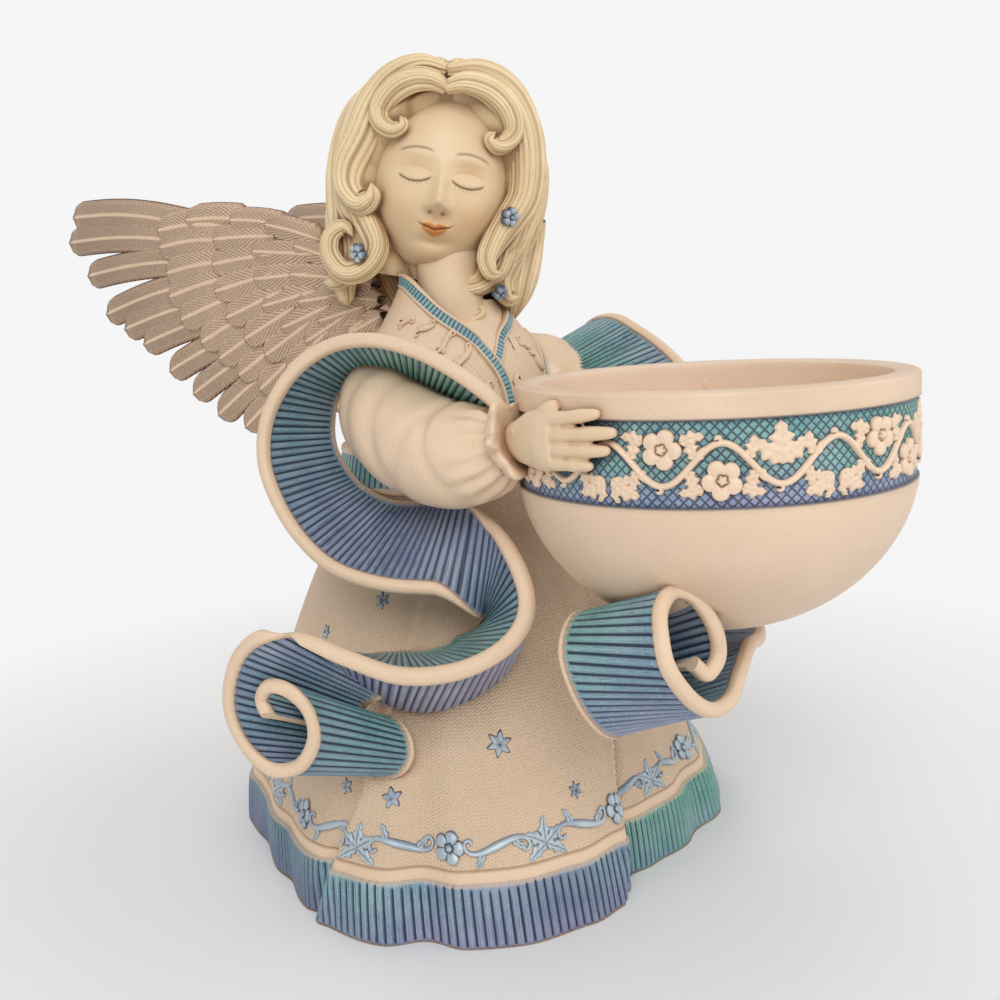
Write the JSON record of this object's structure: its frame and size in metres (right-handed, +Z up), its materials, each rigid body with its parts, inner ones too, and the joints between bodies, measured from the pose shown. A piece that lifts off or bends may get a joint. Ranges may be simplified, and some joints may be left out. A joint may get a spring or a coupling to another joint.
{
  "type": "angel candle holder",
  "caption": "Standing child angel in a fluted gown with swept-back wings and curling pleated ribbons, holding out a round bowl for a candle; the bowl rests on the palms and a ribbon scroll.",
  "frame": {"origin": "centre of the figure's axis on the flat base, at the height of the surface it stands on", "axes": "+Z up, the figure faces -Y, its right hand is at -X"},
  "size_m": [0.223, 0.3779, 0.3018],
  "materials": {
    "cream_resin": "matt cream cast resin with a tan antique wash in the folds",
    "bowl_resin": "smooth cream cast resin with a teal and blue painted frieze",
    "wing_resin": "matt cast resin with a brown wash in the feather barbs",
    "ribbon_paint": "pearly teal, green and lavender paint over cut pleats, cream borders"
  },
  "bodies": {
    "root": {"figure": "cream_resin", "bowl": "bowl_resin", "wing_right": "wing_resin", "wing_left": "wing_resin", "ribbon_right": "ribbon_paint", "ribbon_left": "ribbon_paint", "ribbon_back": "ribbon_paint"}
  },
  "joints": []
}
